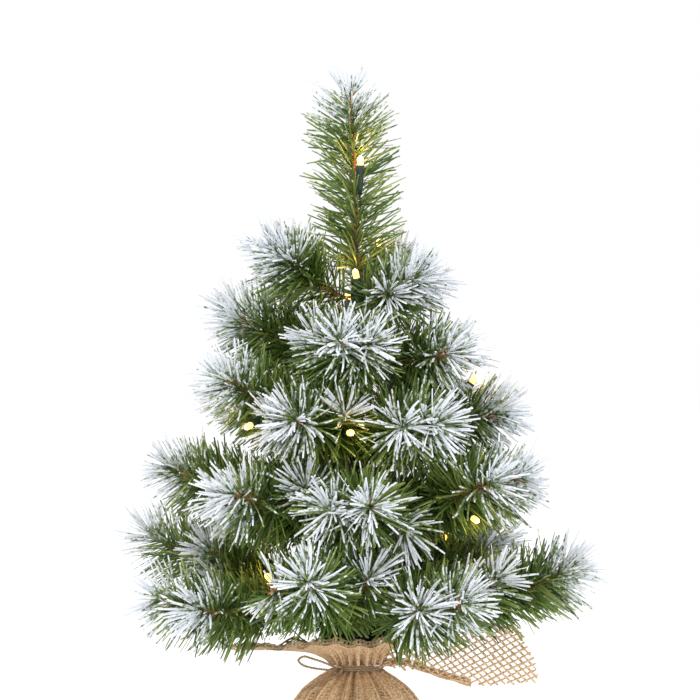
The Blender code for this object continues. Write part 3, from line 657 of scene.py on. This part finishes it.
def brush(name, wires, body, draw, per_metre, frost_reach, length=NEEDLE):
    """One piece with the strips of all the wires of a branch."""
    sets = [needle_set(path, first, last, per_metre, draw, reach * frost_reach, lean, length)
            for path, first, last, reach, lean in wires]
    line, wide, thick, half, low, cold, tint = [np.concatenate(column) for column in zip(*sets)]
    keep = clear_of_cloth(line) & clear_of_lamps(line)
    points, quads = tubes(line[keep], wide[keep], thick[keep], half[keep], low[keep])
    return mesh_piece(name, points, quads, needle_finish, body, "foliage", smooth=False,
                      frost=np.repeat(cold[keep].ravel(), 4), tint=np.repeat(tint[keep].ravel(), 4))


# %% Stems
def stem_mesh(path, last, draw, radius=0.0011):
    """Two twisted wires with the brown paper scales that show between the strips."""
    fine = np.array(smooth_path(path, 60))
    run = run_along(fine)
    fine = fine[run <= last]
    wires = two_ply(fine, radius * 0.62, 0.0050, sides=4)
    count = int(last / 0.0016)
    spot = np.sort(draw.uniform(0.010, last, count))
    root = np.stack([np.interp(spot, run[:len(fine)], fine[:, k]) for k in range(3)], 1)
    headings = unit(np.gradient(fine, axis=0))
    slope = unit(np.stack([np.interp(spot, run[:len(fine)], headings[:, k]) for k in range(3)], 1))
    turn = np.arange(count) * 2.4
    helper = np.where(np.abs(slope[:, 2:]) > 0.9, np.array([1.0, 0, 0]), np.array([0, 0, 1.0]))
    across = unit(np.cross(slope, helper))
    away = across * np.cos(turn)[:, None] + np.cross(across, slope) * np.sin(turn)[:, None]
    out = unit(slope * 0.75 + away)
    size = draw.uniform(0.0050, 0.0090, count)[:, None]
    line = np.stack([root + out * size * s for s in (0.1, 0.5, 1.0)], 1)
    wide = np.repeat(unit(np.cross(out, away + 0.01))[:, None], 3, 1)
    thick = np.cross(np.repeat(out[:, None], 3, 1), wide)
    return joined([wires, tubes(line, wide, thick, np.array([0.0012, 0.0015, 0.0005]), 0.00022)])


# %% All 26 branches and the leader
PER_METRE = 4000
needles_made = 0
for number, (name, row) in enumerate(branch_rows.items()):
    draw = np.random.default_rng(100 + number)
    main_line = in_place(row, main_stem(row))
    side_line = in_place(row, side_stem(row))
    rise = twig_rise(name, number)
    # the wires reach a little further on the left than on the right
    main_last = row[5] - 0.023 - 0.006 * math.cos(math.radians(row[1] + 10))
    side_last = SIDE_SHARE * row[5] - 0.016
    inner_last = TWIG_LENGTH_SHARE * row[5] - 0.012
    body = body_of_node[name]
    wires = [(main_line, 0.003, main_last, 1.0, 67.0), (side_line, 0.004, side_last, 0.95, 64.0)]
    if rise is not None:
        wires.append((in_place(row, inner_stem(row, rise)), 0.003, inner_last, 0.55, 64.0))
    piece = brush(name + "_needles", wires, body, draw, PER_METRE, 0.037)
    stems = mesh_piece(name + "_stem", *joined([stem_mesh(wire[0], wire[2], draw) for wire in wires]),
                       bark, body, "foliage", smooth=False)
    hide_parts(name)
    needles_made += len(piece.data.vertices) // 16
leader_line = np.array([(-0.0085 * s * s, 0.002 * s,
                         LEADER_FOOT + (TREE_HEIGHT - 0.0015 - LEADER_FOOT) * s)
                        for s in np.linspace(0, 1, 30)])
draw = np.random.default_rng(7)
leader_brush = brush("leader_needles", [(leader_line, 0.003, 0.146, 0.64, 66.0)], "root", draw,
                     PER_METRE * 0.95, 0.075, 0.043)
leader_stem = mesh_piece("leader_stem", *stem_mesh(leader_line, 0.150, draw, 0.0016),
                         bark, "root", "foliage", smooth=False)
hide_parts("leader")
print("needles", needles_made + len(leader_brush.data.vertices) // 16)

# %% [markdown]
# ## Lamps and their lead
# A dark green pair of wires climbs the trunk. A twisted tail leaves it for each lamp, ends in a
# slim holder, and a small lens glows warm white. A weak warm light rides on each lens, so the
# strips next to it pick up its colour as they do on the real tree.

# %% Holders, lenses and glow
def turned_tube(start, heading, stations, radii, sides=14):
    """A round body turned about a line, given stations along it and the radius at each."""
    line = (start + np.outer(stations, heading))[None]
    across, upward = sections(line)
    return tubes(line, across, upward, np.array(radii)[None], np.array(radii)[None], sides)


HOLDER_RADII = [0.0002, 0.0016, 0.0018, 0.0022, 0.0026, 0.0030, 0.0033, 0.0033, 0.0030, 0.0006]
GLOW_POWER = 0.016
for name, (tail, start, heading) in lamps.items():
    h, e = HOLDER_LENGTH, LENS_LENGTH
    tail_path = smooth_path(np.vstack([tail, start + heading * 0.002]), 30)
    holder_at = np.array([0, 0.0004, 0.003, 0.0034, 0.006, 0.62 * h, 0.66 * h, 0.97 * h, h, h])
    holder = turned_tube(start, heading, holder_at, HOLDER_RADII)
    lead = mesh_piece(name + "_holder", *joined([two_ply(tail_path, 0.00052, 0.0055), holder]),
                      lead_plastic, body_of_node[name], "lamp")
    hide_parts(name)
    ball = np.linspace(0, math.pi / 2, 8)
    dome_at = np.concatenate([[h - 0.001, h], h + 0.55 * e + 0.45 * e * np.sin(ball)])
    dome_radius = np.concatenate([[0.0022, 0.0024], 0.0025 * np.maximum(np.cos(ball), 0.02)])
    lens = mesh_piece(name + "_lens", *turned_tube(start, heading, dome_at, dome_radius),
                      lens_finish, body_of_node[name], "lamp")
    glow_data = bpy.data.lights.new(name + "_glow", "POINT")
    glow_data.energy = GLOW_POWER
    glow_data.color = (1, 0.60, 0.20)
    glow_data.shadow_soft_size = 0.004
    glow = bpy.data.objects.new(name + "_glow", glow_data)
    glow.location = start + heading * (h + e + 0.003)
    bpy.context.scene.collection.objects.link(glow)
    glow.parent = lens
    glow.matrix_parent_inverse = lens.matrix_world.inverted()

# azimuth, radius and height along the trunk
LEAD_ROUTE = [(118, 0.01855, 0.1478), (118, 0.01855, 0.1530), (119, 0.0165, 0.1610), (121, 0.0120, 0.1710),
              (124, 0.0098, 0.1820), (132, 0.0095, 0.2060), (146, 0.0095, 0.2360), (156, 0.0095, 0.2680),
              (168, 0.0092, 0.3000), (188, 0.0092, 0.3280), (212, 0.0090, 0.3560), (232, 0.0090, 0.3820),
              (250, 0.0088, 0.4060), (262, 0.0086, 0.4320), (272, 0.0086, 0.4520), (282, 0.0088, 0.4700)]
lead_line = [(r * math.cos(math.radians(a)), r * math.sin(math.radians(a)), z) for a, r, z in LEAD_ROUTE]
main_lead = mesh_piece("light_wire_pair", *two_ply(smooth_path(lead_line, 120), 0.00055, 0.0075),
                       lead_plastic, "root", "wire_plastic")
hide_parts("light_wire")
print("lamps", len(lamps))

# %% [markdown]
# ## Burlap
# One square of jute is drawn up round the foot and tied at the neck. Its weave is what the eye sees
# first, so each thread is a real tube that passes over and under the others. The holes are true
# holes, with the dark pot behind them. The folds deepen towards the neck.

# %% Woven surfaces
PITCH = 0.0030
THREAD = 0.0014
THREAD_FLAT, THREAD_TALL = 2.05, 1.14
LENGTHWISE = 144
COLLAR_ROUNDS = 20
RIM_END = 1.12
BAG_OUTLINE = [(0.006, 0.0014), (0.030, 0.0014), (0.049, 0.0018), (0.058, 0.008), (0.0662, 0.024),
               (0.0690, 0.044), (0.0655, 0.059), (0.0570, 0.0725), (0.0495, 0.0825), (0.0435, 0.0900),
               (0.0370, 0.0955),
               (0.0300, 0.1005), (0.0235, 0.1045), (0.0195, 0.1075)]
FOLDS = 21


def fold_depth(height):
    """How far the pleats stand out, from a ripple on the belly to deep folds just under the neck."""
    return 0.0009 + 0.0052 * np.exp(-((height - 0.086) / 0.026) ** 2)


def bag_surface(turn, run):
    """A point on the bag for an angle and a distance up its outline."""
    outline = smooth_path([(r, 0, z) for r, z in BAG_OUTLINE], 160)
    reach = run_along(outline)
    radius = np.interp(run, reach, outline[:, 0])
    height = np.interp(run, reach, outline[:, 2])
    wave = np.cos(FOLDS * turn + 0.8 * np.sin(3 * turn)) * 0.7 + np.cos(29 * turn + 1.3) * 0.3
    # round the pot the pleats stand out from it, and higher up they also fall inwards
    inward = 0.20 + 0.55 * np.clip((height - 0.050) / 0.020, 0, 1)
    radius = radius + fold_depth(height) * (wave - inward) * np.clip((height - 0.004) / 0.03, 0, 1)
    return np.stack([radius * np.cos(turn), radius * np.sin(turn), height], -1)


bag_run = path_length(smooth_path([(r, 0, z) for r, z in BAG_OUTLINE], 160))


# rim radius and rim height of the collar against azimuth
RIM_TURN = np.radians([-60, -30, 0, 30, 60, 90, 120, 150, 172, 186, 205, 225, 250, 275, 300])
RIM_RADIUS = np.array([0.060, 0.068, 0.064, 0.046, 0.036, 0.034, 0.038, 0.057, 0.096, 0.106, 0.088,
                       0.074, 0.066, 0.062, 0.060])
RIM_HEIGHT = np.array([0.133, 0.134, 0.133, 0.128, 0.122, 0.120, 0.121, 0.124, 0.123, 0.124, 0.127,
                       0.131, 0.133, 0.133, 0.133])


NECK_RADIUS = 0.0195
NECK_HEIGHT = 0.1118
CASE_UNDERSIDE = 0.1218


def collar_surface(turn, share):
    """A point on the cloth above the tie: up from the neck, out to the rim at 1, then folded back.

    The battery case hangs over the back of the collar and presses it down."""
    wrapped = np.mod(turn + math.radians(60), 2 * math.pi) - math.radians(60)
    rim_r = np.interp(wrapped, RIM_TURN, RIM_RADIUS, period=2 * math.pi)
    rim_z = np.interp(wrapped, RIM_TURN, RIM_HEIGHT, period=2 * math.pi)
    rising = np.minimum(share, 1)
    folded = np.maximum(share - 1, 0)
    radius = NECK_RADIUS + (rim_r - NECK_RADIUS) * rising ** 1.35
    height = NECK_HEIGHT + (rim_z - NECK_HEIGHT) * (1 - (1 - rising) ** 2.8)
    wave = np.cos(FOLDS * turn + 0.8 * np.sin(3 * turn))
    loose = 0.0014 + 0.0036 * np.maximum(0, np.sin(turn))
    radius = radius + 0.0036 * wave * (1 - 0.6 * rising)
    height = height + loose * wave * rising + 0.0012 * np.cos(7 * turn + 1) * rising
    radius = radius - 0.040 * folded
    fold_lift = 0.0030 + 0.0032 * np.maximum(0, -np.sin(turn))
    height = height + fold_lift * np.sin(np.minimum(folded * 8, 1.5))
    x, y = radius * np.cos(turn), radius * np.sin(turn)
    under_case = (np.clip((0.0400 - np.abs(x)) / 0.006, 0, 1) * np.clip((y - 0.0060) / 0.004, 0, 1)
                  * np.clip((0.0350 - y) / 0.006, 0, 1))
    height = height - under_case * np.maximum(0, height - CASE_UNDERSIDE)
    return np.stack([x, y, height], -1)


def woven(surface, u_lines, v_lines, u_range, v_range, thick, name, closed):
    """Points and quads of thread over a surface: a family along v and one along u, over and under."""
    pieces = []
    draw = np.random.default_rng(len(name))
    for family, (count, other) in enumerate(((u_lines, v_lines), (v_lines, u_lines))):
        index = np.arange(count)
        # one station on each crossing, so the thread is at its highest or lowest exactly there
        if family == 0:
            along = np.concatenate([[0], (np.arange(other) + 0.5) / other, [1]])
        else:
            along = np.arange(other + 1) / other
        steps = len(along)
        near = (index + 0.5) / count if not (family == 0 and closed) else index / count
        sway = draw.normal(0, 0.10 / count, (count, 1))
        if family == 0:
            u = np.broadcast_to(near[:, None] + sway, (count, steps))
            v = np.broadcast_to(along, (count, steps))
            phase = index[:, None] + v * other - 0.5
        else:
            v = np.broadcast_to(near[:, None], (count, steps)) + sway * 0.6
            u = np.broadcast_to(along, (count, steps))
            phase = index[:, None] + u * other + 1
        u_at = u_range[0] + (u_range[1] - u_range[0]) * u
        v_at = v_range[0] + (v_range[1] - v_range[0]) * np.clip(v, 0, 1)
        step = 1e-4
        spot = surface(u_at, v_at)
        normal = unit(np.cross(surface(u_at + step, v_at) - spot,
                               surface(u_at, v_at + step * 0.1) - spot))
        line = spot + normal * (np.cos(math.pi * phase) * thick * 0.42)[..., None]
        across = unit(np.cross(unit(np.gradient(line, axis=1)), normal))
        fat = thick / 2 * draw.uniform(0.80, 1.22, (count, 1)) * (1 + draw.normal(0, 0.07, (count, steps)))
        pieces.append(tubes(line, across, normal, fat * THREAD_FLAT, fat * THREAD_TALL))
    return joined(pieces)


all_round = (0, 2 * math.pi)
bag = woven(bag_surface, LENGTHWISE, int(bag_run / PITCH), all_round, (0, bag_run), THREAD, "bag", True)
collar = woven(collar_surface, LENGTHWISE, COLLAR_ROUNDS, all_round, (0, RIM_END), THREAD, "collar", True)
print("bag outline", round(bag_run, 4))

# %% Right corner, an open diamond of loose threads
CORNER = np.array([(0.022, 0.1110), (0.050, 0.1090), (0.0922, 0.0985), (0.1012, 0.0960), (0.1453, 0.0996),
                   (0.1412, 0.1183), (0.1273, 0.1440), (0.0850, 0.1380), (0.050, 0.1330), (0.022, 0.1260)])


def inside_spans(origin, heading, outline):
    """Where a straight line lies inside a closed outline, as (start, end) distances."""
    cuts = []
    for a, b in zip(outline, np.roll(outline, -1, axis=0)):
        edge_vector = b - a
        det = heading[0] * -edge_vector[1] + heading[1] * edge_vector[0]
        if abs(det) < 1e-12:
            continue
        offset = a - origin
        t = (offset[0] * -edge_vector[1] + offset[1] * edge_vector[0]) / det
        s = (heading[0] * offset[1] - heading[1] * offset[0]) / det
        if 0 <= s < 1:
            cuts.append(t)
    cuts.sort()
    return list(zip(cuts[::2], cuts[1::2]))


def corner_point(flat, lift):
    """A point of the corner's flat drawing, bowed like loose cloth."""
    x, z = flat[..., 0], flat[..., 1]
    bow = 0.0045 * np.sin((x - 0.02) * 42) + 0.0030 * np.sin(z * 130)
    return np.stack([x, -0.1405 * x - bow - 0.002 + lift, z], -1)


def corner_threads(pitch, radius):
    """Both thread families of the corner, each thread a little beyond the edge."""
    draw = np.random.default_rng(5)
    headings = [np.array([math.cos(math.radians(27)), math.sin(math.radians(27))]),
                np.array([math.cos(math.radians(-45)), math.sin(math.radians(-45))])]
    normals = [np.array([-h[1], h[0]]) for h in headings]
    found = []
    for family in (0, 1):
        heading, normal, other = headings[family], normals[family], normals[1 - family]
        reach = CORNER @ normal
        for index in range(math.ceil(reach.min() / pitch), math.floor(reach.max() / pitch) + 1):
            origin = normal * (index * pitch + draw.normal(0, pitch * 0.05))
            for start, end in inside_spans(origin, heading, CORNER):
                start -= draw.uniform(0.0002, 0.0024)
                end += draw.uniform(0.0006, 0.0038)
                if end - start < 0.006:
                    continue
                steps = max(6, int((end - start) / pitch * 4))
                flat = origin + np.outer(np.linspace(start, end, steps), heading)
                flat = flat + np.outer(np.sin(np.linspace(0, 9, steps) + index), normal) * 0.00025
                phase = flat @ other / pitch + index
                sign = 1 if family == 0 else -1
                line = corner_point(flat, sign * np.cos(math.pi * phase) * radius * 0.85)[None]
                across, upward = sections(line)
                fat = radius * draw.uniform(0.85, 1.2) * (1 + draw.normal(0, 0.06, (1, steps)))
                found.append(tubes(line, across, upward, fat, fat))
    return joined(found)


CORNER_PITCH = 0.0045
CORNER_THREAD_RADIUS = 0.00090
cloth = mesh_piece("burlap_square", *joined([bag, collar, corner_threads(CORNER_PITCH, CORNER_THREAD_RADIUS)]),
                   jute, "root", "burlap")
# three loose threads rolled together along the corner's lower edge
rolled = smooth_path([(0.020, -0.006, 0.1120), (0.0384, -0.008, 0.1135), (0.062, -0.013, 0.1060),
                      (0.0922, -0.017, 0.0975)], 60)
rolls = [two_ply(rolled + np.array([0, k * 0.0012, k * 0.0016]), 0.0009, 0.0400, 0.9) for k in (-1, 0, 1)]
rolled_edge = mesh_piece("corner_roll", *joined(rolls), jute, "root", "burlap")
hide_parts("burlap_wrap")
print("burlap faces", len(cloth.data.polygons))

# %% [markdown]
# ## Trunk, foot and battery case
# The pole is wrapped in green tape. The foot, case, cells and board keep their solid shapes, which
# are right as they are, and only need the finish of moulded plastic, cement, steel or a lacquered
# board.

# %% Finishes for the solids that stay
TAPE_LAP = 0.0095
TAPE_HALF_WIDTH, TAPE_HALF_THICK = 0.0044, 0.00035
z = np.linspace(0.116, 0.4255, 900)
a = z / TAPE_LAP * 2 * math.pi
r = np.interp(z, [0.008, 0.426], [0.0055, 0.0045]) + 0.0003
helix = np.stack([r * np.cos(a), r * np.sin(a), z], -1)[None]
outward = np.stack([np.cos(a), np.sin(a), 0 * a], -1)[None]
tape_across = np.cross(unit(np.gradient(helix, axis=1)), outward)
mesh_piece("trunk_tape_wrap", *tubes(helix, tape_across, outward, TAPE_HALF_WIDTH, TAPE_HALF_THICK),
           tape, "root", "wrapped_pole")

node_finish = {
    "base_pot": pot_plastic, "weight_block": cement, "trunk_pole": tape, "battery_case": case_plastic,
    "battery_cover": case_plastic, "switch_knob": knob_plastic, "battery_cell_1": cell_wrap,
    "battery_cell_2": cell_wrap, "contact_left": contact_metal, "contact_right": contact_metal,
    "circuit_board": board_green, "case_tie": tie_nylon}
for name, finish in node_finish.items():
    solid = frame["nodes"][name]
    if not solid.data.materials:
        solid.data.materials.append(finish)
    for place in solid.material_slots:
        place.link = "OBJECT"
        place.material = finish

# %% Floor
floor_mesh = bpy.data.meshes.new("floor")
floor_mesh.from_pydata([(-12, -12, 0), (12, -12, 0), (12, 12, 0), (-12, 12, 0)], [], [(0, 1, 2, 3)])
floor_mesh.materials.append(floor_paper)
floor = bpy.data.objects.new("floor", floor_mesh)
bpy.context.scene.collection.objects.link(floor)
floor.location.z = -0.0005
floor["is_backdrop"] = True

# %% Finish
visual_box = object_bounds()
for label, box in (("cad", cad_box), ("visual", visual_box)):
    print(label, [[round(c, 3) for c in p] for p in box])
